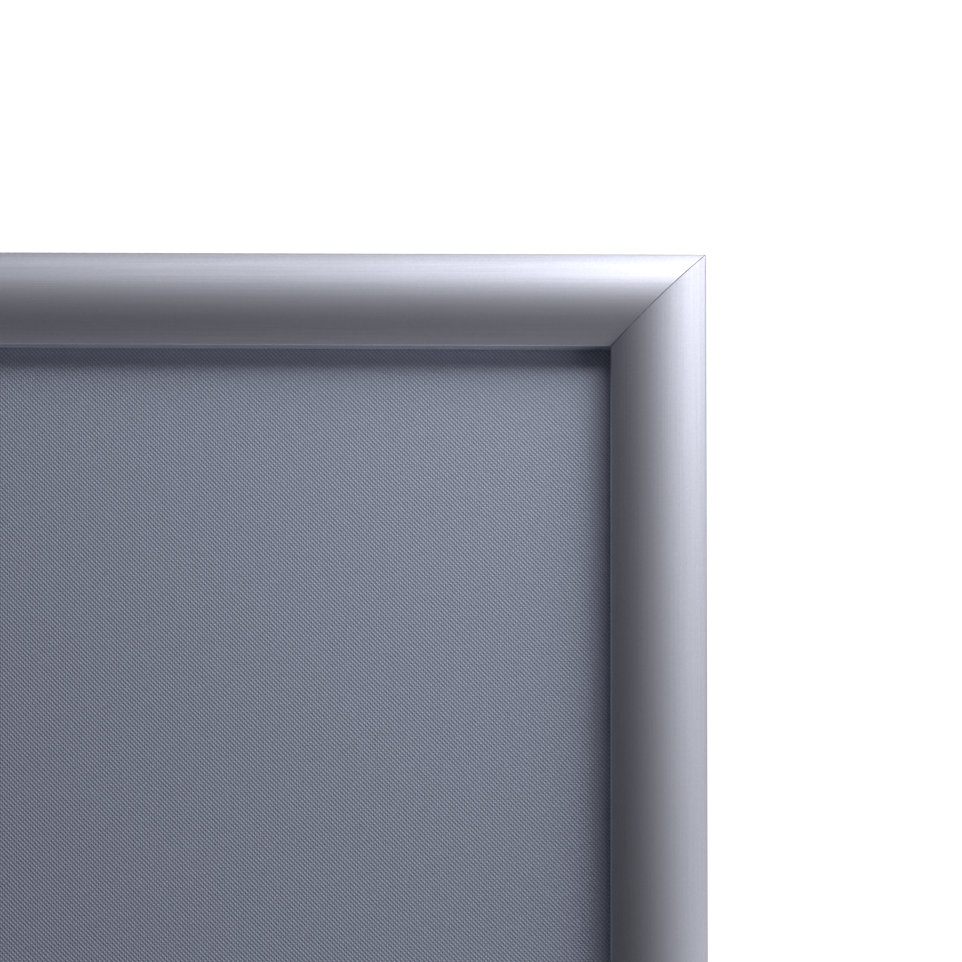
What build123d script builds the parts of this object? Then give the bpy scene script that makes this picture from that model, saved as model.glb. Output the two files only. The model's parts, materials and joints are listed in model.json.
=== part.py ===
from build123d import *
import os
from math import cos, radians, sin, sqrt

# A free-standing pavement sign: two snap-open poster frames, hinged together along
# their top rails, each leaning back from its own foot.
#
# Frames are drawn flat and then stood up. In the flat frame x runs across, y runs up
# the panel, z points out of the face, z = 0 is the back of the rails, and the origin
# is the middle of the panel. Rail sections are drawn in (inset, height): inset is the
# distance in from the frame's outer edge, height is the distance from its back.

# ---- driving dimensions, mm ----
SHEET_WIDTH = 594.0
SHEET_HEIGHT = 841.0
PROFILE_WIDTH = 32.0
COVERED_EDGE = 10.0          # how far the covers reach over the sheet, all round
PROFILE_DEPTH = 14.0
ARCH_RISE = 5.0              # how much the cover's face bows over its width
LEAN = 15.0                  # degrees, each frame from upright
BACK_GAP = 12.0              # from a frame's back to the hinge axis
AXIS_BELOW_TOP = 10.0
FOOT_HEIGHT = 16.0           # floor to the lowest corner of the rails
HINGE_SPREAD = 400.0
STAY_PIVOT_DROP = 310.0      # hinge axis to the stay's pivot, down the front frame

# ---- frame ----
FRAME_WIDTH = SHEET_WIDTH + 2 * (PROFILE_WIDTH - COVERED_EDGE)
FRAME_HEIGHT = SHEET_HEIGHT + 2 * (PROFILE_WIDTH - COVERED_EDGE)
AXIS_Y = FRAME_HEIGHT / 2 - AXIS_BELOW_TOP
LEAN_RADIANS = radians(LEAN)
AXIS_HEIGHT = (FOOT_HEIGHT + (FRAME_HEIGHT - AXIS_BELOW_TOP) * cos(LEAN_RADIANS)
               - BACK_GAP * sin(LEAN_RADIANS))

# ---- base rail section ----
WALL = 1.4
RIB = 1.0
BACK_REACH = 30.0
KEY_WAY = (7.9, 20.4)        # the channel that the corner keys and springs sit in
KEY_WAY_TOP = 4.4
KEY_WAY_LIP = 1.2
LIP_THICKNESS = 0.7

# ---- snap cover section ----
COVER_HINGE = (2.8, 3.6)     # centre of the cover's bead
BEAD_RADIUS = 1.4
SOCKET_BORE = 1.65
SOCKET_OUTER = 2.7
MOUTH_FROM = 60.0            # degrees, the open part of the socket
MOUTH_TO = 200.0
NECK = 1.0
COVER_WALL = 1.4
LIP_WALL = 1.2
SPRING_RIB = (12.0, 13.0)
SPRING_RIB_FOOT = 10.4
EDGE_ROUND = 0.7
COVER_FOOT = 4.3             # the inner lip stops this far from the back
ROLLED_EDGE = 0.6
MITRE_GAP = 0.12             # each cover stops this short of the mitre plane
BEAD_SHORTFALL = 9.0         # the bead stops this short of the frame's corners

# ---- panel and sheet ----
PANEL_THICKNESS = 2.0
CLEAR_THICKNESS = 0.5

# ---- leaf springs ----
SPRING_THICKNESS = 0.5
SPRING_LENGTH = 18.0
SPRINGS_ACROSS = (-120.0, 0.0, 120.0)
SPRINGS_UPRIGHT = (-300.0, -150.0, 0.0, 150.0, 300.0)

# ---- corner keys ----
KEY_ARM = 60.0
KEY_THICKNESS = 2.0
KEY_FIT = 0.2
SCREW_RADIUS = 2.0
KEY_SCREWS = (30.0, 52.0)    # distance of each set screw from the corner

# ---- top hinges ----
LEAF_LENGTH = 60.0
LEAF_THICKNESS = 2.0
LEAF_BELOW_AXIS = 19.0
LEAF_ABOVE_AXIS = 6.0
LEAF_WEB = 2.5
BARREL_RADIUS = 5.0
PIN_RADIUS = 2.5
PIN_FIT = 0.05
PIN_HEAD = 1.5
KNUCKLE_GAP = 0.4
OUTER_KNUCKLE = 15.0
RIVET_RADIUS = 2.0
RIVET_HEAD_RADIUS = 3.8
RIVET_HEAD = 1.4
RIVET_TAIL = 1.2
RIVET_INSET = 15.5           # rivets come through in the middle of the key way
LEAF_RIVETS = (-20.0, 0.0, 20.0)

# ---- stays, their brackets, tracks and pins ----
BRACKET_LENGTH = 26.0
BRACKET_INSET = (4.0, 28.0)  # the plate on the rail's back; the flange is at its inner edge
BRACKET_THICKNESS = 2.0
BRACKET_STAND = 20.0
BRACKET_RIVETS = (-8.0, 8.0)
TRACK_END = 16.0             # flange left past each end of the pin's travel
TRACK_RIVETS = (-50.0, -25.0, 25.0, 50.0)
STAY_WIDTH = 14.0
STAY_THICKNESS = 3.0
STAY_SIDE_GAP = 0.5
PIVOT_RADIUS = 3.0
PIVOT_FIT = 0.06
PIVOT_HEAD_RADIUS = 5.5
PIVOT_HEAD = 2.0
SLOT_FIT = 0.3

# ---- feet ----
FOOT_WIDTH = 30.0
FOOT_INSET = 5.0
FOOT_THICKNESS = 11.0
FOOT_UP = 44.0
FOOT_ROUND = 3.0
FOOT_SCREWS = (12.0, 34.0)   # height of each screw above the frame's lower edge
FOOT_SCREW_RADIUS = 1.8
FOOT_SCREW_HEAD = 3.6
FOOT_SCREW_SINK = 3.0

SIDE_TURNS = {"bottom": 0, "right": 90, "top": 180, "left": 270}
UPRIGHT_SIDES = ("left", "right")


# ---- helpers ----
def block(low_x, high_x, low_y, high_y):
    """A rectangle between two corners, as a sketch."""
    size = Rectangle(high_x - low_x, high_y - low_y, align=(Align.MIN, Align.MIN))
    return Pos(low_x, low_y) * size


def brick(low, high):
    """A box between two corners."""
    size = [b - a for a, b in zip(low, high)]
    return Pos(*low) * Box(*size, align=(Align.MIN, Align.MIN, Align.MIN))


def rod(radius, low, high):
    """A round bar along z."""
    return Pos(0, 0, low) * Cylinder(radius, high - low, align=(Align.CENTER, Align.CENTER, Align.MIN))


def along_x(shape):
    """Turn a shape drawn about z so that it lies about x."""
    return Rot(0, 90, 0) * shape


def mitred(section, length, trim=0.0):
    """A section run along x with its outer edge on y = 0, both ends cut at 45 degrees."""
    start = Plane(origin=(-length / 2, 0, 0), x_dir=(0, 1, 0), z_dir=(1, 0, 0))
    run = extrude(start * section, length)
    half = length / 2 - trim
    inside = PROFILE_WIDTH + 8
    outside = -8
    right = [(half - outside, outside), (half - inside, inside)]
    left = [(-half + inside, inside), (-half + outside, outside)]
    keep = Pos(0, 0, -1) * extrude(Polygon(*right, *left, align=None), PROFILE_DEPTH + 2)
    return run & keep


def rail_length(side):
    """Outside length of the rail on one side."""
    return FRAME_HEIGHT if side in UPRIGHT_SIDES else FRAME_WIDTH


def spring_places(side):
    """Where the leaf springs stand along the rail on one side."""
    return SPRINGS_UPRIGHT if side in UPRIGHT_SIDES else SPRINGS_ACROSS


def on_side(shape, side):
    """Move a piece drawn along the lower edge to its own side of the flat frame."""
    reach = (FRAME_WIDTH if side in UPRIGHT_SIDES else FRAME_HEIGHT) / 2
    return Rot(0, 0, SIDE_TURNS[side]) * Pos(0, -reach, 0) * shape


def stand(shape, frame):
    """Stand a piece of the flat frame up in its place in the open sign."""
    upright = Pos(0, 0, AXIS_HEIGHT) * Rot(90 - LEAN, 0, 0) * Pos(0, -AXIS_Y, BACK_GAP)
    if frame == "rear":
        upright = Rot(0, 0, 180) * upright
    return upright * shape


def side_name(frame, side):
    """The side as seen from the front of the sign: the rear frame faces the other way."""
    turned = {"left": "right", "right": "left"}
    if frame == "rear":
        return turned.get(side, side)
    return side


def group(pieces):
    """Separate solids that share one node."""
    return Compound(children=list(pieces))


# ---- snap profile ----
def rail_section():
    """The fixed extrusion: back, bead socket along the outer edge, and key way."""
    start, end = KEY_WAY
    mouth_reach = 3 * SOCKET_OUTER
    step = (MOUTH_TO - MOUTH_FROM) / 3
    turns = [radians(MOUTH_FROM + step * i) for i in range(4)]
    mouth = Polygon((0, 0), *[(mouth_reach * cos(a), mouth_reach * sin(a)) for a in turns], align=None)
    section = block(0.1, BACK_REACH, 0, WALL) + block(0.1, 1.2, 0, 2.6)
    section += Pos(*COVER_HINGE) * (Circle(SOCKET_OUTER) - mouth)
    section -= Pos(*COVER_HINGE) * Circle(SOCKET_BORE)
    section += block(start - RIB, start, 0, KEY_WAY_TOP)
    section += block(start - RIB, start + KEY_WAY_LIP, KEY_WAY_TOP - LIP_THICKNESS, KEY_WAY_TOP)
    section += block(end, end + RIB, 0, KEY_WAY_TOP)
    section += block(end - KEY_WAY_LIP, end + RIB, KEY_WAY_TOP - LIP_THICKNESS, KEY_WAY_TOP)
    return section


def arch_height(inset, drop=0.0):
    """Height of the cover's bowed face at an inset, or of a line that far under it."""
    half = PROFILE_WIDTH / 2
    radius = (half ** 2 + ARCH_RISE ** 2) / (2 * ARCH_RISE)
    return PROFILE_DEPTH - radius + sqrt((radius - drop) ** 2 - (inset - half) ** 2)


def cover_section():
    """The hinged extrusion: bowed face, bead on a neck, inner lip and spring rib."""
    half = PROFILE_WIDTH / 2
    radius = (half ** 2 + ARCH_RISE ** 2) / (2 * ARCH_RISE)
    centre = Pos(half, PROFILE_DEPTH - radius)
    inset, height = COVER_HINGE
    face = centre * (Circle(radius) - Circle(radius - COVER_WALL))
    face &= block(0, PROFILE_WIDTH, PROFILE_DEPTH / 2, PROFILE_DEPTH + 1)
    lip_top = arch_height(PROFILE_WIDTH - 1, 0.5)
    face += block(PROFILE_WIDTH - LIP_WALL, PROFILE_WIDTH, COVER_FOOT + ROLLED_EDGE, lip_top)
    rims = face.vertices().filter_by(lambda v: abs(v.Y - arch_height(0)) < 0.05)
    face = fillet(rims, EDGE_ROUND)
    face += Pos(PROFILE_WIDTH - 0.4, COVER_FOOT + ROLLED_EDGE) * Circle(ROLLED_EDGE)
    face += block(inset - NECK / 2, inset + NECK / 2, height, arch_height(inset, 0.5))
    face += Pos(inset, height) * Circle(BEAD_RADIUS)
    face += block(*SPRING_RIB, SPRING_RIB_FOOT, arch_height(SPRING_RIB[0], 0.5))
    return face


def snap_cover(length):
    """A mitred cover whose bead stops short of the corners, so that it can turn there."""
    cover = mitred(cover_section(), length, MITRE_GAP)
    clear_top = arch_height(0, COVER_WALL) - 0.1
    for end in (-1, 1):
        corner = brick((-BEAD_SHORTFALL, -1, 0), (BEAD_SHORTFALL, 6, clear_top))
        cover -= Pos(end * length / 2, 0, 0) * corner
    return cover


def leaf_spring():
    """A bent strip: flat foot in the key way, leaf rising to the cover's spring rib."""
    foot = WALL + SPRING_THICKNESS / 2
    path = Line((18.6, foot), (12.5, foot))
    path += ThreePointArc((12.5, foot), (10.85, foot + 0.75), (10.2, foot + 2.4))
    path += ThreePointArc((10.2, foot + 2.4), (9.9, 7.2), (12.3, 9.8))
    start = Plane(origin=(-SPRING_LENGTH / 2, 0, 0), x_dir=(0, 1, 0), z_dir=(1, 0, 0))
    return extrude(start * trace(path, SPRING_THICKNESS), SPRING_LENGTH)


# ---- corner keys, panel and sheet ----
def corner_key():
    """An L of flat bar in the lower left corner, with holes for its set screws."""
    low, high = KEY_WAY[0] + KEY_FIT, KEY_WAY[1] - KEY_FIT
    end = low + KEY_ARM
    key = block(low, end, low, high) + block(low, high, low, end)
    middle = (low + high) / 2
    for distance in KEY_SCREWS:
        key -= Pos(distance, middle) * Circle(SCREW_RADIUS)
        key -= Pos(middle, distance) * Circle(SCREW_RADIUS)
    return Pos(0, 0, WALL) * extrude(key, KEY_THICKNESS)


def corner_screws():
    """The set screws of one corner key."""
    middle = sum(KEY_WAY) / 2
    screw = rod(SCREW_RADIUS - PIN_FIT, WALL, WALL + KEY_THICKNESS + 0.6)
    socket = extrude(RegularPolygon(1.0, 6), 1.2)
    screw -= Pos(0, 0, WALL + KEY_THICKNESS - 0.5) * socket
    places = [(d, middle) for d in KEY_SCREWS] + [(middle, d) for d in KEY_SCREWS]
    return [Pos(x, y, 0) * screw for x, y in places]


def at_corners(pieces):
    """Copies of pieces drawn from the lower left corner, in all four corners."""
    copies = []
    for mirror_x in (False, True):
        for mirror_y in (False, True):
            for piece in pieces:
                moved = Pos(-FRAME_WIDTH / 2, -FRAME_HEIGHT / 2, 0) * piece
                if mirror_x:
                    moved = mirror(moved, about=Plane.YZ)
                if mirror_y:
                    moved = mirror(moved, about=Plane.XZ)
                copies.append(moved)
    return copies


def back_panel():
    """The stiff grey panel that lies on the rails' backs, corners slightly rounded."""
    outline = RectangleRounded(SHEET_WIDTH, SHEET_HEIGHT, 2)
    return Pos(0, 0, WALL) * extrude(outline, PANEL_THICKNESS)


def clear_sheet():
    """The clear cover sheet that lies on the panel."""
    outline = RectangleRounded(SHEET_WIDTH, SHEET_HEIGHT, 2)
    return Pos(0, 0, WALL + PANEL_THICKNESS) * extrude(outline, CLEAR_THICKNESS)


# ---- rivets ----
def blind_rivet(grip_back):
    """A rivet through the rail's back: domed head behind, set tail in the key way."""
    dome = Sphere(RIVET_HEAD_RADIUS) & rod(RIVET_HEAD_RADIUS, -RIVET_HEAD_RADIUS, 0)
    squash = RIVET_HEAD / RIVET_HEAD_RADIUS
    dome = scale(dome, by=(1, 1, squash))
    shank = rod(RIVET_RADIUS, -grip_back, WALL)
    tail = rod(RIVET_RADIUS + 0.9, WALL, WALL + RIVET_TAIL)
    return shank + Pos(0, 0, -grip_back) * dome + tail


# ---- top hinges ----
def leaf_rivet_places(hinge_x):
    """Where a leaf's rivets go through the top rail, in the flat frame."""
    y = FRAME_HEIGHT / 2 - RIVET_INSET
    return [(hinge_x + x, y) for x in LEAF_RIVETS]


def hinge_leaf(hinge_x, outer):
    """A leaf plate with webs out to its knuckles: the outer pair, or the middle one."""
    half = LEAF_LENGTH / 2
    inner = half - OUTER_KNUCKLE
    if outer:
        spans = [(-half, -inner), (inner, half)]
    else:
        spans = [(-inner + KNUCKLE_GAP, inner - KNUCKLE_GAP)]
    leaf = brick((-half, -LEAF_BELOW_AXIS, -LEAF_THICKNESS), (half, LEAF_ABOVE_AXIS, 0))
    leaf = fillet(leaf.edges().filter_by(Axis.Z), 2.5)
    for low, high in spans:
        leaf += brick((low, -LEAF_WEB / 2, -BACK_GAP), (high, LEAF_WEB / 2, -LEAF_THICKNESS))
        leaf += Pos(0, 0, -BACK_GAP) * along_x(rod(BARREL_RADIUS, low, high))
    leaf -= Pos(0, 0, -BACK_GAP) * along_x(rod(PIN_RADIUS + PIN_FIT, -half - 1, half + 1))
    leaf = Pos(hinge_x, AXIS_Y, 0) * leaf
    for x, y in leaf_rivet_places(hinge_x):
        leaf -= Pos(x, y, 0) * rod(RIVET_RADIUS, -LEAF_THICKNESS - 1, 1)
    return leaf


def hinge_pin(hinge_x):
    """A headed pin through all three knuckles, on the axis of the open sign."""
    half = LEAF_LENGTH / 2
    pin = rod(PIN_RADIUS, -half, half)
    head = rod(PIN_RADIUS + 1.3, 0, PIN_HEAD)
    head = fillet(head.edges().group_by(Axis.Z)[-1], 0.6)
    pin += Pos(0, 0, half) * head
    pin += Pos(0, 0, -half) * Rot(180, 0, 0) * head
    return Pos(hinge_x, 0, AXIS_HEIGHT) * along_x(pin)


# ---- stays ----
# A stay is as long, between centres, as its pivot is far from the hinge axis. Its pin
# then runs along a straight line through that axis, and the stay turns by twice the fold.
BRACKET_X = FRAME_WIDTH / 2 - BRACKET_INSET[1]
STAY_X = BRACKET_X - STAY_SIDE_GAP - STAY_THICKNESS
STAY_ANGLE = 3 * LEAN - 90
SLIDE_TOP = 2 * STAY_PIVOT_DROP * cos(2 * LEAN_RADIANS)
SLIDE_BOTTOM = 2 * STAY_PIVOT_DROP
TRACK_DROP = (SLIDE_TOP + SLIDE_BOTTOM) / 2
TRACK_LENGTH = SLIDE_BOTTOM - SLIDE_TOP + 2 * TRACK_END
PIVOT_POINT = (-STAY_PIVOT_DROP * sin(LEAN_RADIANS), AXIS_HEIGHT - STAY_PIVOT_DROP * cos(LEAN_RADIANS))
SLIDE_POINT = (SLIDE_TOP * sin(LEAN_RADIANS), AXIS_HEIGHT - SLIDE_TOP * cos(LEAN_RADIANS))


def angle_rivet_places(drop, offsets):
    """Where the rivets of an angle go through the right rail, in the flat frame."""
    x = FRAME_WIDTH / 2 - RIVET_INSET
    return [(x, AXIS_Y - drop + offset) for offset in offsets]


def rail_angle(drop, length, rivets):
    """An angle on the back of the right rail, its flange along the rail's inner edge."""
    half = length / 2
    outer_edge = FRAME_WIDTH / 2 - BRACKET_INSET[0]
    plate = brick((BRACKET_X, -half, -BRACKET_THICKNESS), (outer_edge, half, 0))
    angle = fillet(plate.edges().filter_by(Axis.Z).group_by(Axis.X)[-1], 4)
    flange = brick((BRACKET_X, -half, -BRACKET_STAND), (BRACKET_X + BRACKET_THICKNESS, half, 0))
    angle += fillet(flange.edges().filter_by(Axis.X).group_by(Axis.Z)[0], 7)
    angle = Pos(0, AXIS_Y - drop, 0) * angle
    for x, y in angle_rivet_places(drop, rivets):
        angle -= Pos(x, y, 0) * rod(RIVET_RADIUS, -BRACKET_THICKNESS - 1, 1)
    return angle


def stay_bracket():
    """The front frame's angle, bored for the stay's pivot."""
    bore = rod(PIVOT_RADIUS + PIN_FIT, BRACKET_X - 1, BRACKET_X + BRACKET_THICKNESS + 1)
    angle = rail_angle(STAY_PIVOT_DROP, BRACKET_LENGTH, BRACKET_RIVETS)
    return angle - Pos(0, AXIS_Y - STAY_PIVOT_DROP, -BACK_GAP) * along_x(bore)


def stay_track():
    """The rear frame's angle, slotted for the whole travel of the stay's pin."""
    outline = SlotCenterToCenter(SLIDE_BOTTOM - SLIDE_TOP, 2 * (PIVOT_RADIUS + SLOT_FIT))
    slot = extrude(Plane.YZ * outline, BRACKET_THICKNESS + 2)
    angle = rail_angle(TRACK_DROP, TRACK_LENGTH, TRACK_RIVETS)
    return angle - Pos(BRACKET_X - 1, AXIS_Y - TRACK_DROP, -BACK_GAP) * slot


def headed_pin(inner, outer, point):
    """A shank across the frame between two heads."""
    head = rod(PIVOT_HEAD_RADIUS, 0, PIVOT_HEAD)
    head = fillet(head.edges().group_by(Axis.Z)[-1], 0.8)
    pin = rod(PIVOT_RADIUS, inner, outer)
    pin += Pos(0, 0, outer) * head
    pin += Pos(0, 0, inner) * Rot(180, 0, 0) * head
    return Pos(0, *point) * along_x(pin)


def stay():
    """A flat bar with a round end on the pivot and another round the sliding pin."""
    half = STAY_WIDTH / 2
    outline = block(0, STAY_PIVOT_DROP, -half, half)
    outline += Circle(half) + Pos(STAY_PIVOT_DROP, 0) * Circle(half)
    outline -= Circle(PIVOT_RADIUS + PIVOT_FIT)
    outline -= Pos(STAY_PIVOT_DROP, 0) * Circle(PIVOT_RADIUS)
    bar = extrude(Plane.YZ * outline, STAY_THICKNESS)
    return Pos(STAY_X, *PIVOT_POINT) * Rot(STAY_ANGLE, 0, 0) * bar


# ---- feet ----
def foot_screw_places():
    """Where the right foot's screws go, in the flat frame."""
    x = FRAME_WIDTH / 2 - FOOT_INSET - FOOT_WIDTH / 2
    return [(x, -FRAME_HEIGHT / 2 + height) for height in FOOT_SCREWS]


def foot():
    """A block behind the lower end of the right rail, still to be cut level."""
    right = FRAME_WIDTH / 2 - FOOT_INSET
    bottom = -FRAME_HEIGHT / 2
    low = (right - FOOT_WIDTH, bottom - 2 * FOOT_HEIGHT, -FOOT_THICKNESS)
    block_of_rubber = brick(low, (right, bottom + FOOT_UP, 0))
    upright_edges = block_of_rubber.edges().filter_by(Axis.Y).group_by(Axis.Z)[0]
    top_edges = block_of_rubber.edges().filter_by(Axis.X).group_by(Axis.Y)[-1].group_by(Axis.Z)[0]
    body = fillet(upright_edges + top_edges, FOOT_ROUND)
    for x, y in foot_screw_places():
        body -= Pos(x, y, 0) * rod(FOOT_SCREW_RADIUS, -FOOT_THICKNESS - 1, 1)
        sink = rod(FOOT_SCREW_HEAD + 0.3, -FOOT_THICKNESS - 1, FOOT_SCREW_SINK - FOOT_THICKNESS)
        body -= Pos(x, y, 0) * sink
    return body


def foot_screw():
    """A cross-head screw from the foot's back into the rail."""
    seat = FOOT_SCREW_SINK - FOOT_THICKNESS
    head = rod(FOOT_SCREW_HEAD, seat - 2.2, seat)
    head = fillet(head.edges().group_by(Axis.Z)[0], 1.0)
    cross = Box(4.2, 0.9, 2.4) + Box(0.9, 4.2, 2.4)
    head -= Pos(0, 0, seat - 2.2) * cross
    return head + rod(FOOT_SCREW_RADIUS - PIN_FIT, seat, WALL - 0.1)


def level(shape):
    """Cut away whatever would be under the floor."""
    below = Pos(0, 0, -50) * Box(4 * FRAME_WIDTH, 4 * FRAME_HEIGHT, 100)
    return shape - below


# ---- one frame ----
def drilled_rails(rivet_places, screw_places):
    """The four base rails with the holes that rivets and screws pass through."""
    drills = [Pos(x, y, 0) * rod(RIVET_RADIUS, -1, WALL + 1) for x, y in rivet_places]
    drills += [Pos(x, y, 0) * rod(FOOT_SCREW_RADIUS, -1, WALL + 1) for x, y in screw_places]
    rails = {}
    for side in SIDE_TURNS:
        rail = on_side(mitred(rail_section(), rail_length(side)), side)
        for drill in drills:
            rail -= drill
        rails[side] = rail
    return rails


def build_frame(frame, nodes):
    """Add every piece that belongs to one frame."""
    if frame == "front":
        seat_name = "stay_bracket"
        seat = stay_bracket()
        right_seat_rivets = angle_rivet_places(STAY_PIVOT_DROP, BRACKET_RIVETS)
    else:
        seat_name = "stay_track"
        seat = stay_track()
        right_seat_rivets = angle_rivet_places(TRACK_DROP, TRACK_RIVETS)
    seat_rivets = right_seat_rivets + [(-x, y) for x, y in right_seat_rivets]
    hinge_places = (-HINGE_SPREAD / 2, HINGE_SPREAD / 2)
    leaf_rivets = [place for x in hinge_places for place in leaf_rivet_places(x)]
    right_screws = foot_screw_places()
    foot_screws = right_screws + [(-x, y) for x, y in right_screws]

    rails = drilled_rails(leaf_rivets + seat_rivets, foot_screws)
    for side in SIDE_TURNS:
        name = f"{frame}_{side_name(frame, side)}"
        nodes[f"{name}_rail"] = stand(rails[side], frame)
        nodes[f"{name}_cover"] = stand(on_side(snap_cover(rail_length(side)), side), frame)
        strips = [on_side(Pos(x, 0, 0) * leaf_spring(), side) for x in spring_places(side)]
        nodes[f"{name}_springs"] = group(stand(strip, frame) for strip in strips)

    nodes[f"{frame}_corner_keys"] = group(stand(key, frame) for key in at_corners([corner_key()]))
    nodes[f"{frame}_corner_screws"] = group(stand(screw, frame) for screw in at_corners(corner_screws()))
    nodes[f"{frame}_back_panel"] = stand(back_panel(), frame)
    nodes[f"{frame}_clear_sheet"] = stand(clear_sheet(), frame)

    for sign, side in ((1, "right"), (-1, "left")):
        name = side_name(frame, side)
        side_seat = seat
        block_foot = foot()
        if sign < 0:
            side_seat = mirror(seat, about=Plane.YZ)
            block_foot = mirror(block_foot, about=Plane.YZ)
        nodes[f"{frame}_{name}_{seat_name}"] = stand(side_seat, frame)
        nodes[f"{frame}_{name}_foot"] = level(stand(block_foot, frame))
        leaf = hinge_leaf(sign * HINGE_SPREAD / 2, outer=frame == "front")
        nodes[f"{frame}_{name}_hinge_leaf"] = stand(leaf, frame)

    rivet = blind_rivet(LEAF_THICKNESS)
    nodes[f"{frame}_hinge_rivets"] = group(stand(Pos(x, y, 0) * rivet, frame) for x, y in leaf_rivets)
    nodes[f"{frame}_stay_rivets"] = group(stand(Pos(x, y, 0) * rivet, frame) for x, y in seat_rivets)
    screw = foot_screw()
    nodes[f"{frame}_foot_screws"] = group(stand(Pos(x, y, 0) * screw, frame) for x, y in foot_screws)


def build_sign():
    """Every node of the sign, by name."""
    nodes = {}
    build_frame("front", nodes)
    build_frame("rear", nodes)
    for sign, side in ((1, "right"), (-1, "left")):
        nodes[f"{side}_hinge_pin"] = hinge_pin(sign * HINGE_SPREAD / 2)
    flange_outside = BRACKET_X + BRACKET_THICKNESS
    pieces = {
        "stay": stay(),
        "stay_pivot": headed_pin(STAY_X - STAY_SIDE_GAP, flange_outside, PIVOT_POINT),
        "slide_pin": headed_pin(STAY_X, flange_outside + STAY_SIDE_GAP, SLIDE_POINT),
    }
    for name, piece in pieces.items():
        nodes[f"right_{name}"] = piece
        nodes[f"left_{name}"] = mirror(piece, about=Plane.YZ)
    return nodes


os.makedirs("parts", exist_ok=True)
for node, shape in build_sign().items():
    export_step(shape, f"parts/{node}.step")
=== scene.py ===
"""The looks of the snap-frame pavement sign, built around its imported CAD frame."""
import json
import math

import bmesh
import bpy
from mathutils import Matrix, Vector


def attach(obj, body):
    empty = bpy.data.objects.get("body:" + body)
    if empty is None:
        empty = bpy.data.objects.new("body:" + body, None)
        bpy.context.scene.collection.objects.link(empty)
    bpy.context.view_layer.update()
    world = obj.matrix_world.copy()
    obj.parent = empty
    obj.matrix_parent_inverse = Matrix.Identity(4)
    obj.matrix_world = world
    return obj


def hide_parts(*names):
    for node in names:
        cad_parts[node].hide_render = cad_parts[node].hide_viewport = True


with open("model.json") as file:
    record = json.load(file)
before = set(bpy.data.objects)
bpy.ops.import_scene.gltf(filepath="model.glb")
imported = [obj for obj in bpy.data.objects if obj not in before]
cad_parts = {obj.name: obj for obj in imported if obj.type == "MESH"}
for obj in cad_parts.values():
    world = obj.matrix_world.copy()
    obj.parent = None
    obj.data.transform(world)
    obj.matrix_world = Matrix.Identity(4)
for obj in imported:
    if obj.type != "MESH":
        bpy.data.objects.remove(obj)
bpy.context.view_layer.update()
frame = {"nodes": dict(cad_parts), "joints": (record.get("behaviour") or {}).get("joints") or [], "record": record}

MM = 0.001
FRAMES = ("front", "rear")
SIDES = ("top", "bottom", "left", "right")
NODES = frame["nodes"]
JOINTS = {joint["name"]: joint for joint in frame["joints"]}

# ---- snap cover section, as in the CAD: inset from the outer edge, height from the back ----
COVER_WIDTH = 32 * MM
COVER_TOP = 14 * MM
ARCH_RISE = 5 * MM
COVER_WALL = 1.4 * MM
EDGE_ROUND = 0.7 * MM
LIP_WALL = 1.2 * MM
ROLL_RADIUS = 0.6 * MM
ROLL_INSET = 0.4 * MM
ROLL_HEIGHT = 4.9 * MM
HINGE_INSET = 2.8 * MM
HINGE_HEIGHT = 3.6 * MM
BEAD_RADIUS = 1.4 * MM
NECK_HALF = 0.5 * MM
BEAD_SHORTFALL = 9 * MM
RIB_INSETS = (12 * MM, 13 * MM)
RIB_FOOT = 10.4 * MM
MITRE_CHAMFER = 0.1 * MM
NECK_OVERLAP = 0.9 * MM

ARCH_RADIUS = ((COVER_WIDTH / 2) ** 2 + ARCH_RISE ** 2) / (2 * ARCH_RISE)
ARCH_CENTRE = Vector((COVER_WIDTH / 2, COVER_TOP - ARCH_RADIUS))

# ---- looks ----
SILVER = (0.795, 0.80, 0.885)
BLUE_GREY = (0.56, 0.60, 0.765)
RAIL_ROUGHNESS = 0.36
COVER_ROUGHNESS = 0.56
WEAVE_PITCH = 1.08 * MM
DRAWN_SMOOTH_ANGLE = 35
NODE_SMOOTH_ANGLE = 30

# ---- stage ----
FLOOR_RADIUS = 2.6
FLOOR_CLEAR = 1.1
FLOOR_GONE = 2.3
BACKDROP_STRENGTH = 1.05
SURROUND_STRENGTH = 0.02


# ---- directions of the two faces ----
def face_directions(side_of_sign):
    """(across, up, outward) of the front or rear face, from its upright covers' hinge lines."""
    up = Vector(JOINTS[f"{side_of_sign}_right_flip"]["axis"])
    if up.z < 0:
        up.negate()
    across = Vector((1, 0, 0)) if side_of_sign == "front" else Vector((-1, 0, 0))
    return across, up, across.cross(up)


FACES = {name: face_directions(name) for name in FRAMES}


def reach(node, direction):
    """Lowest and highest place of a node's points along a direction."""
    places = [vertex.co.dot(direction) for vertex in NODES[node].data.vertices]
    return min(places), max(places)


# ---- mesh helpers ----
def arc(centre, radius, start, end, steps):
    """Points of an arc, both ends included, angles in radians."""
    points = []
    for i in range(steps + 1):
        angle = start + (end - start) * i / steps
        across, up = radius * math.cos(angle), radius * math.sin(angle)
        points.append(Vector((centre[0] + across, centre[1] + up)))
    return points


def turned_in(outline, distance):
    """A clockwise outline moved inwards by a distance, point by point."""
    moved = []
    count = len(outline)
    for i, point in enumerate(outline):
        before = (point - outline[i - 1]).normalized()
        after = (outline[(i + 1) % count] - point).normalized()
        side = before + after
        normal = Vector((side.y, -side.x)).normalized()
        moved.append(point + normal * distance)
    return moved


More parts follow.
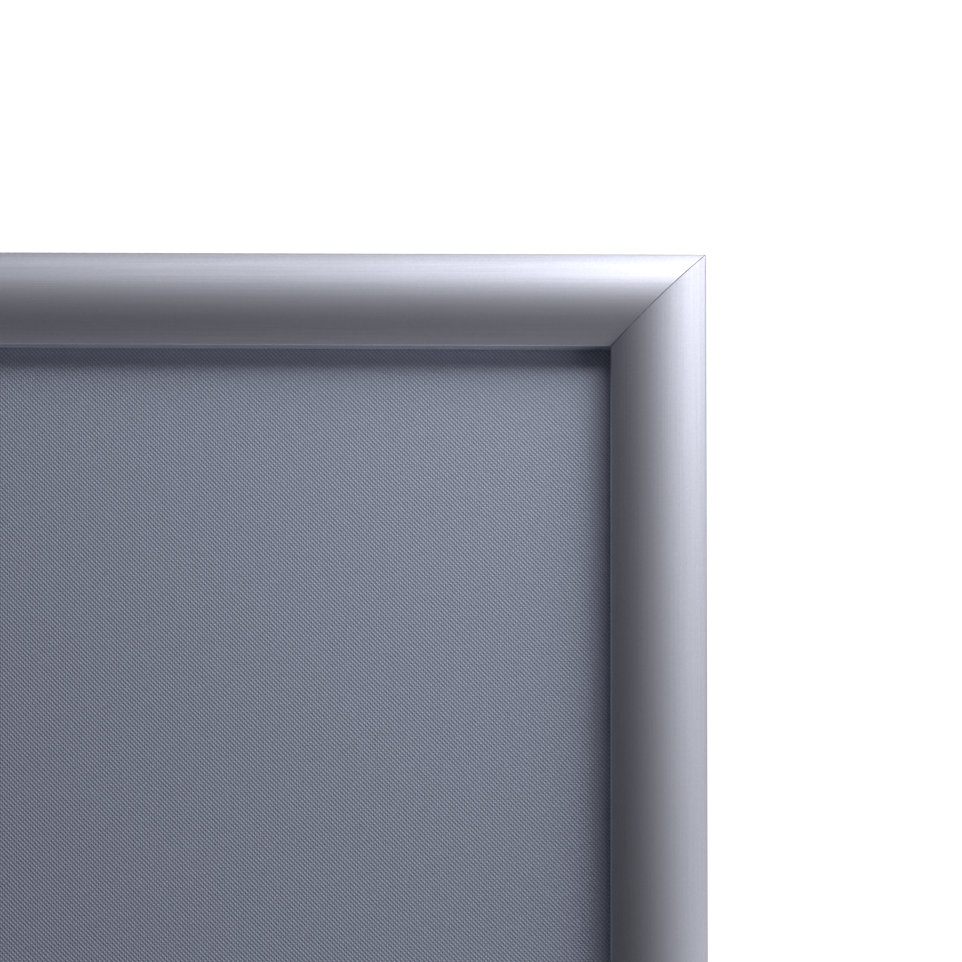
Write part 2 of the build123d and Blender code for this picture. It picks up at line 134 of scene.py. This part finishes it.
def finish_mesh(name, mesh_data, material):
    """An object from a bmesh, with outward faces and smooth curved stretches."""
    bmesh.ops.recalc_face_normals(mesh_data, faces=mesh_data.faces)
    mesh = bpy.data.meshes.new(name)
    mesh_data.to_mesh(mesh)
    mesh_data.free()
    mesh.shade_smooth()
    mesh.set_sharp_from_angle(angle=math.radians(DRAWN_SMOOTH_ANGLE))
    piece = bpy.data.objects.new(name, mesh)
    bpy.context.scene.collection.objects.link(piece)
    piece.data.materials.append(material)
    return piece


def swept(mesh_data, rings):
    """Join rings of points, all the same length, into a closed bar."""
    rows = [[mesh_data.verts.new(point) for point in ring] for ring in rings]
    count = len(rows[0])
    for near, far in zip(rows, rows[1:]):
        for i in range(count):
            j = (i + 1) % count
            mesh_data.faces.new((near[i], near[j], far[j], far[i]))
    mesh_data.faces.new(rows[0])
    mesh_data.faces.new(list(reversed(rows[-1])))


# ---- snap covers ----
def cover_outline():
    """The bowed face with its rounded rims, inner lip, rolled edge and spring rib, clockwise."""
    half = COVER_WIDTH / 2
    rim_distance = ARCH_RADIUS - EDGE_ROUND
    rim_height = ARCH_CENTRE.y + math.sqrt(rim_distance ** 2 - (half - EDGE_ROUND) ** 2)
    rim_angle = math.atan2(rim_height - ARCH_CENTRE.y, half - EDGE_ROUND)
    roll = (COVER_WIDTH - ROLL_INSET, ROLL_HEIGHT)
    roll_start = math.acos(ROLL_INSET / ROLL_RADIUS)
    under = ARCH_RADIUS - COVER_WALL

    def under_height(inset):
        return ARCH_CENTRE.y + math.sqrt(under ** 2 - (inset - half) ** 2)

    def under_angle(inset):
        return math.atan2(under_height(inset) - ARCH_CENTRE.y, inset - half)

    low_rib, high_rib = RIB_INSETS
    wall = COVER_WIDTH - LIP_WALL
    points = arc((EDGE_ROUND, rim_height), EDGE_ROUND, math.pi, math.pi - rim_angle, 6)
    points += arc(ARCH_CENTRE, ARCH_RADIUS, math.pi - rim_angle, rim_angle, 56)[1:]
    points += arc((COVER_WIDTH - EDGE_ROUND, rim_height), EDGE_ROUND, rim_angle, 0, 6)[1:]
    points += arc(roll, ROLL_RADIUS, roll_start, -math.pi, 12)
    points.append(Vector((wall, ROLL_HEIGHT)))
    points += arc(ARCH_CENTRE, under, under_angle(wall), under_angle(high_rib), 20)
    points += [Vector((high_rib, RIB_FOOT)), Vector((low_rib, RIB_FOOT))]
    points += arc(ARCH_CENTRE, under, under_angle(low_rib), under_angle(0), 14)
    return points


def bead_outline():
    """The round bead and its neck up into the bowed face, clockwise."""
    turn = math.asin(NECK_HALF / BEAD_RADIUS)
    centre = (HINGE_INSET, HINGE_HEIGHT)
    top = COVER_TOP - ARCH_RISE + NECK_OVERLAP
    points = arc(centre, BEAD_RADIUS, math.pi / 2 - turn, turn - 1.5 * math.pi, 22)
    points += [Vector((HINGE_INSET - NECK_HALF, top)), Vector((HINGE_INSET + NECK_HALF, top))]
    return points


def snap_cover(side_of_sign, side, material):
    """One mitred cover, drawn along its own hinge line."""
    node = f"{side_of_sign}_{side}_cover"
    joint = JOINTS[f"{side_of_sign}_{side}_flip"]
    along = Vector(joint["axis"]).normalized()
    outward = FACES[side_of_sign][2]
    inward = outward.cross(along)
    corner = Vector(joint["pos_m"]) - HINGE_INSET * inward - HINGE_HEIGHT * outward
    low, high = reach(node, along)
    half = (high - low) / 2
    middle = corner + along * ((low + high) / 2 - corner.dot(along))

    def place(point, distance):
        return middle + inward * point.x + outward * point.y + along * distance

    def ring(outline, end, setback, mitred):
        lengths = [half - setback - (point.x if mitred else 0) for point in outline]
        return [place(point, end * length) for point, length in zip(outline, lengths)]

    data = bmesh.new()
    outline = cover_outline()
    cap = turned_in(outline, MITRE_CHAMFER)
    swept(data, [
        ring(cap, -1, 0, True),
        ring(outline, -1, MITRE_CHAMFER, True),
        ring(outline, 1, MITRE_CHAMFER, True),
        ring(cap, 1, 0, True),
    ])
    bead = bead_outline()
    swept(data, [ring(bead, -1, BEAD_SHORTFALL, False), ring(bead, 1, BEAD_SHORTFALL, False)])
    piece = finish_mesh(f"{side_of_sign}_{side}_snap_cover", data, material)
    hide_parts(node)
    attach(piece, f"{side_of_sign}_{side}_flap")


# ---- material helpers ----
class Nodes:
    """A small wrapper that adds and links shader nodes of one material."""

    def __init__(self, name):
        self.material = bpy.data.materials.new(name)
        self.material.use_nodes = True
        self.tree = self.material.node_tree
        self.shader = self.tree.nodes["Principled BSDF"]
        coordinates = self.tree.nodes.new("ShaderNodeTexCoord")
        self.place = coordinates.outputs["Object"]

    def link(self, source, target):
        self.tree.links.new(source, target)

    def feed(self, socket, source):
        """Link a source to one of the shader's own sockets."""
        self.link(source, self.shader.inputs[socket])

    def set(self, **values):
        for name, value in values.items():
            self.shader.inputs[name.replace("_", " ")].default_value = value

    def math(self, operation, first, second=None, third=None):
        node = self.tree.nodes.new("ShaderNodeMath")
        node.operation = operation
        for socket, value in zip(node.inputs, (first, second, third)):
            if value is None:
                continue
            if isinstance(value, (int, float)):
                socket.default_value = value
            else:
                self.link(value, socket)
        return node.outputs[0]

    def dot(self, direction):
        node = self.tree.nodes.new("ShaderNodeVectorMath")
        node.operation = "DOT_PRODUCT"
        self.link(self.place, node.inputs[0])
        node.inputs[1].default_value = direction
        return node.outputs["Value"]

    def stretched(self, along, keep):
        """The place with its part along a direction shortened to keep times its length."""
        scaled = self.tree.nodes.new("ShaderNodeVectorMath")
        scaled.operation = "SCALE"
        scaled.inputs[0].default_value = along
        self.link(self.math("MULTIPLY", self.dot(along), 1 - keep), scaled.inputs["Scale"])
        rest = self.tree.nodes.new("ShaderNodeVectorMath")
        rest.operation = "SUBTRACT"
        self.link(self.place, rest.inputs[0])
        self.link(scaled.outputs[0], rest.inputs[1])
        return rest.outputs[0]

    def noise(self, scale, detail=2.0, place=None, roughness=0.5):
        node = self.tree.nodes.new("ShaderNodeTexNoise")
        node.inputs["Scale"].default_value = scale
        node.inputs["Detail"].default_value = detail
        node.inputs["Roughness"].default_value = roughness
        self.link(place or self.place, node.inputs["Vector"])
        return node.outputs["Fac"]

    def cells(self, scale):
        node = self.tree.nodes.new("ShaderNodeTexVoronoi")
        node.inputs["Scale"].default_value = scale
        self.link(self.place, node.inputs["Vector"])
        return node.outputs["Color"]

    def spread(self, value, low, high, from_low=0.0, from_high=1.0):
        node = self.tree.nodes.new("ShaderNodeMapRange")
        node.inputs["From Min"].default_value = from_low
        node.inputs["From Max"].default_value = from_high
        node.inputs["To Min"].default_value = low
        node.inputs["To Max"].default_value = high
        self.link(value, node.inputs["Value"])
        return node.outputs["Result"]

    def blend(self, factor, first, second):
        node = self.tree.nodes.new("ShaderNodeMix")
        node.data_type = "RGBA"
        self.link(factor, node.inputs["Factor"])
        for socket, value in ((node.inputs[6], first), (node.inputs[7], second)):
            if isinstance(value, tuple):
                socket.default_value = (*value, 1.0)
            else:
                self.link(value, socket)
        return node.outputs[2]

    def bump(self, height, distance, below=None):
        node = self.tree.nodes.new("ShaderNodeBump")
        node.inputs["Strength"].default_value = 1.0
        node.inputs["Distance"].default_value = distance
        self.link(height, node.inputs["Height"])
        if below is not None:
            self.link(below, node.inputs["Normal"])
        return node.outputs["Normal"]


def scaled_colour(colour, factor):
    """A colour made lighter or darker."""
    return tuple(min(1.0, channel * factor) for channel in colour)


# ---- materials ----
def anodised(name, along, colour, roughness):
    """Satin anodised aluminium with fine extrusion lines along one direction."""
    m = Nodes(name)
    lines = m.noise(2300, 3, m.stretched(along, 0.012))
    bands = m.noise(420, 2, m.stretched(along, 0.004))
    speckle = m.noise(1500, 2)
    clouds = m.noise(26, 3)
    tone = m.math("ADD", m.math("MULTIPLY", lines, 0.35), m.math("MULTIPLY", bands, 0.35))
    tone = m.math("ADD", tone, m.math("MULTIPLY", speckle, 0.30))
    tone = m.math("ADD", tone, m.math("MULTIPLY", clouds, 0.15))
    factor = m.spread(tone, 0, 1, 0.38, 0.78)
    m.feed("Base Color", m.blend(factor, scaled_colour(colour, 0.86), scaled_colour(colour, 1.10)))
    m.feed("Roughness", m.spread(tone, roughness + 0.05, roughness - 0.05, 0.38, 0.78))
    fine = m.bump(lines, 0.004 * MM)
    wide = m.bump(bands, 0.012 * MM, below=fine)
    m.feed("Normal", m.bump(speckle, 0.009 * MM, below=wide))
    m.set(Metallic=1.0)
    return m.material


def embossed_panel(name, across, up, colour):
    """Blue-grey sheet with a fine woven emboss: slanted rows of beads; its colour carries painted shade in the
    hollows and painted highlight on the crests.
    """
    m = Nodes(name)
    turn = 2 * math.pi / WEAVE_PITCH
    wander = m.spread(m.noise(60, 2), -0.35, 0.35)
    down_right = m.math("MULTIPLY_ADD", m.dot((across + up).normalized()), turn, wander)
    down_left = m.math("MULTIPLY_ADD", m.dot((across - up).normalized()), turn * 0.97, wander)
    rows = m.math("SINE", down_right)
    cross = m.math("SINE", down_left)
    beads = m.math("MULTIPLY", rows, cross)
    height = m.math("MULTIPLY_ADD", cross, 0.22, m.math("MULTIPLY", rows, 0.75))
    height = m.math("MULTIPLY_ADD", beads, 0.55, height)
    grain = m.noise(1800, 2)
    height = m.math("MULTIPLY_ADD", m.spread(grain, -1, 1), 0.35, height)
    clouds = m.noise(9, 3)
    # Painted shade and highlight: the colour runs from about 0.7 times the blue-grey in the emboss's hollows to
    # about 1.3 times on its crests. It is strongest in the rows along the up-right direction, where light raking
    # from the upper right would show them.
    dark = m.blend(clouds, scaled_colour(colour, 0.68), scaled_colour(colour, 0.72))
    light = m.blend(clouds, scaled_colour(colour, 1.27), scaled_colour(colour, 1.33))
    m.feed("Base Color", m.blend(m.spread(height, 0, 1, -1.2, 1.2), dark, light))
    m.feed("Roughness", m.spread(grain, 0.5, 0.62))
    m.feed("Normal", m.bump(height, 0.05 * MM))
    m.set(IOR=1.48)
    return m.material


def clear_film(name):
    """Thin clear anti-glare plastic, faintly hazy."""
    m = Nodes(name)
    haze = m.noise(14, 3)
    grain = m.noise(2400, 2)
    m.feed("Base Color", m.blend(haze, (0.80, 0.82, 0.86), (0.86, 0.88, 0.92)))
    m.feed("Roughness", m.spread(grain, 0.38, 0.5))
    m.feed("Normal", m.bump(grain, 0.01 * MM))
    m.set(Alpha=0.03, IOR=1.5)
    return m.material


def plated_steel(name, colour, roughness, cell=260):
    """Zinc-plated steel: faint crystals, cloudy passivation and fine scratches."""
    m = Nodes(name)
    crystals = m.cells(cell)
    split = m.tree.nodes.new("ShaderNodeSeparateColor")
    m.link(crystals, split.inputs[0])
    clouds = m.noise(70, 4)
    crystal_part = m.math("MULTIPLY", split.outputs[0], 0.35)
    tone = m.math("ADD", crystal_part, m.math("MULTIPLY", clouds, 0.65))
    warm = (colour[0] * 1.06, colour[1] * 1.02, colour[2] * 0.92)
    m.feed("Base Color", m.blend(tone, scaled_colour(colour, 0.82), warm))
    m.feed("Roughness", m.spread(tone, roughness - 0.07, roughness + 0.1))
    scratches = m.noise(1500, 3, m.stretched(Vector((0.6, 0.0, 0.8)), 0.04))
    m.feed("Normal", m.bump(scratches, 0.006 * MM))
    m.set(Metallic=1.0)
    return m.material


def moulded_rubber(name):
    """Black moulded rubber: fine pitting, dusty and paler where it is scuffed."""
    m = Nodes(name)
    pits = m.noise(1300, 4)
    dust = m.noise(48, 5, roughness=0.65)
    factor = m.spread(dust, 0, 1, 0.42, 0.75)
    m.feed("Base Color", m.blend(factor, (0.016, 0.016, 0.017), (0.055, 0.053, 0.05)))
    m.feed("Roughness", m.spread(dust, 0.62, 0.86))
    m.feed("Normal", m.bump(pits, 0.05 * MM))
    m.set(IOR=1.45)
    return m.material


def floor_material(centre, clear, gone):
    """Pale studio floor that fades out to the background away from the sign."""
    m = Nodes("pale_floor")
    distance = m.tree.nodes.new("ShaderNodeVectorMath")
    distance.operation = "DISTANCE"
    m.link(m.place, distance.inputs[0])
    distance.inputs[1].default_value = centre
    grain = m.noise(90, 3)
    m.feed("Base Color", m.blend(grain, (0.80, 0.80, 0.80), (0.84, 0.84, 0.84)))
    m.feed("Alpha", m.spread(distance.outputs["Value"], 1, 0, clear, gone))
    m.set(Roughness=0.8)
    return m.material


# ---- dressing the CAD nodes ----
def dress(node, material):
    """Give a carried-over CAD node its material and smooth curved stretches."""
    piece = NODES[node]
    piece.data.materials.clear()
    piece.data.materials.append(material)
    piece.data.shade_smooth()
    piece.data.set_sharp_from_angle(angle=math.radians(NODE_SMOOTH_ANGLE))


def dress_all():
    """Materials for every node, by what the record says each one is made of."""
    across = Vector((1, 0, 0))
    metals = {
        "spring_steel": plated_steel("blued_spring_steel", (0.34, 0.35, 0.38), 0.28, 900),
        "zinc_steel": plated_steel("zinc_plated_steel", (0.66, 0.67, 0.69), 0.34),
        "dark_screw": plated_steel("black_oxide_steel", (0.10, 0.10, 0.11), 0.42, 1400),
        "hinge_alloy": plated_steel("cast_hinge_alloy", (0.62, 0.63, 0.66), 0.40, 600),
        "rivet_alloy": plated_steel("rivet_aluminium", (0.74, 0.74, 0.76), 0.36, 1600),
        "screw_steel": plated_steel("screw_steel", (0.58, 0.58, 0.60), 0.30, 1600),
        "pin_steel": plated_steel("pin_steel", (0.60, 0.60, 0.62), 0.26, 1600),
        "black_rubber": moulded_rubber("black_rubber"),
        "clear_sheet": clear_film("clear_film"),
    }
    rails = {"top": anodised("anodised_rail_across", across, SILVER, RAIL_ROUGHNESS)}
    rails["bottom"] = rails["top"]
    covers = {"top": anodised("anodised_cover_across", across, SILVER, COVER_ROUGHNESS)}
    covers["bottom"] = covers["top"]
    for side_of_sign in FRAMES:
        face_across, up = FACES[side_of_sign][:2]
        for side in ("left", "right"):
            own = f"{side_of_sign}_{side}"
            rails[side] = anodised(f"anodised_rail_{own}", up, SILVER, RAIL_ROUGHNESS)
            covers[side] = anodised(f"anodised_cover_{own}", up, SILVER, COVER_ROUGHNESS)
        for side in SIDES:
            dress(f"{side_of_sign}_{side}_rail", rails[side])
            snap_cover(side_of_sign, side, covers[side])
        panel = embossed_panel(f"embossed_panel_{side_of_sign}", face_across, up, BLUE_GREY)
        dress(f"{side_of_sign}_back_panel", panel)
    for entry in frame["record"]["subparts"]:
        if entry["material_slot"] in metals:
            dress(entry["node"], metals[entry["material_slot"]])


# ---- stage, light and camera ----
def aim(thing, target):
    """Turn a light or camera so that it looks at a point."""
    direction = target - thing.location
    thing.rotation_euler = direction.to_track_quat("-Z", "Y").to_euler()


def area_light(name, place, target, size, power, colour=(0.96, 0.975, 1.0)):
    """A square softbox."""
    light = bpy.data.lights.new(name, "AREA")
    light.shape = "SQUARE"
    light.size = size
    light.energy = power
    light.color = colour
    lamp = bpy.data.objects.new(name, light)
    bpy.context.scene.collection.objects.link(lamp)
    lamp.visible_camera = False
    lamp.location = place
    aim(lamp, target)


def top_right_corner():
    """The front face's outer corner, at the height of the covers' rims."""
    across, up, outward = FACES["front"]
    right = reach("front_right_cover", across)[1]
    top = reach("front_top_cover", up)[1]
    rim = reach("front_top_cover", outward)[1] - ARCH_RISE
    return across * right + up * top + outward * rim


def build_floor():
    """A wide pale disc under the sign."""
    data = bmesh.new()
    bmesh.ops.create_circle(data, cap_ends=True, segments=96, radius=FLOOR_RADIUS)
    floor = finish_mesh("studio_floor", data, floor_material((0, 0, 0), FLOOR_CLEAR, FLOOR_GONE))


def build_world():
    """White behind the sign, and a dim even surround for reflections."""
    world = bpy.data.worlds.new("studio")
    world.use_nodes = True
    bpy.context.scene.world = world
    tree = world.node_tree
    seen = tree.nodes["Background"]
    seen.inputs["Color"].default_value = (1, 1, 1, 1)
    seen.inputs["Strength"].default_value = BACKDROP_STRENGTH
    surround = tree.nodes.new("ShaderNodeBackground")
    surround.inputs["Color"].default_value = (0.86, 0.90, 1.0, 1)
    surround.inputs["Strength"].default_value = SURROUND_STRENGTH
    mix = tree.nodes.new("ShaderNodeMixShader")
    path = tree.nodes.new("ShaderNodeLightPath")
    tree.links.new(path.outputs["Is Camera Ray"], mix.inputs[0])
    tree.links.new(surround.outputs[0], mix.inputs[1])
    tree.links.new(seen.outputs[0], mix.inputs[2])
    tree.links.new(mix.outputs[0], tree.nodes["World Output"].inputs["Surface"])


def build_lights(corner):
    """Softboxes above and to the right of the corner, low to the face, and one behind."""
    across, up, outward = FACES["front"]
    target = corner - (across + up) * 0.08

    def beside(right, above, forward):
        return corner + across * right + up * above + outward * forward

    area_light("near_key", beside(0.36, 0.38, 0.20), target, 0.34, 2.8)
    area_light("high_key", beside(0.25, 0.95, 0.55), target, 0.60, 1.8)
    area_light("close_key", beside(0.12, 0.30, 0.22), target, 0.22, 0.5)
    area_light("close_left", beside(-0.20, 0.45, 0.25), target, 0.25, 0.2)
    area_light("low_right", beside(0.60, -0.55, 0.15), target, 0.40, 2.7)
    back_place = Vector((-0.6, 2.2, 1.6))
    area_light("back_fill", back_place, Vector((0, 0, 0.4)), 1.4, 24.0, (1.0, 0.99, 0.97))


def build_camera(corner):
    """Close on the upper right corner, level with the top edge."""
    field = 324 * MM
    distance = 3.0
    looking_down = math.radians(1.46)
    left_of_corner = 75.5 * MM
    below_corner = 76.5 * MM
    camera_up = Vector((0, math.sin(looking_down), math.cos(looking_down)))
    back = Vector((0, -math.cos(looking_down), math.sin(looking_down)))
    target = corner - Vector((left_of_corner, 0, 0)) - camera_up * below_corner
    data = bpy.data.cameras.new("camera")
    data.sensor_width = 36
    data.lens = data.sensor_width * distance / field
    data.clip_start = 0.01
    data.clip_end = 50
    camera = bpy.data.objects.new("camera", data)
    bpy.context.scene.collection.objects.link(camera)
    camera.location = target + back * distance
    aim(camera, target)
    camera.rotation_euler.rotate_axis("Z", math.radians(0.2))
    bpy.context.scene.camera = camera


bpy.context.scene.view_settings.view_transform = "Standard"
face_corner = top_right_corner()
build_camera(face_corner)
dress_all()
build_floor()
build_world()
build_lights(face_corner)
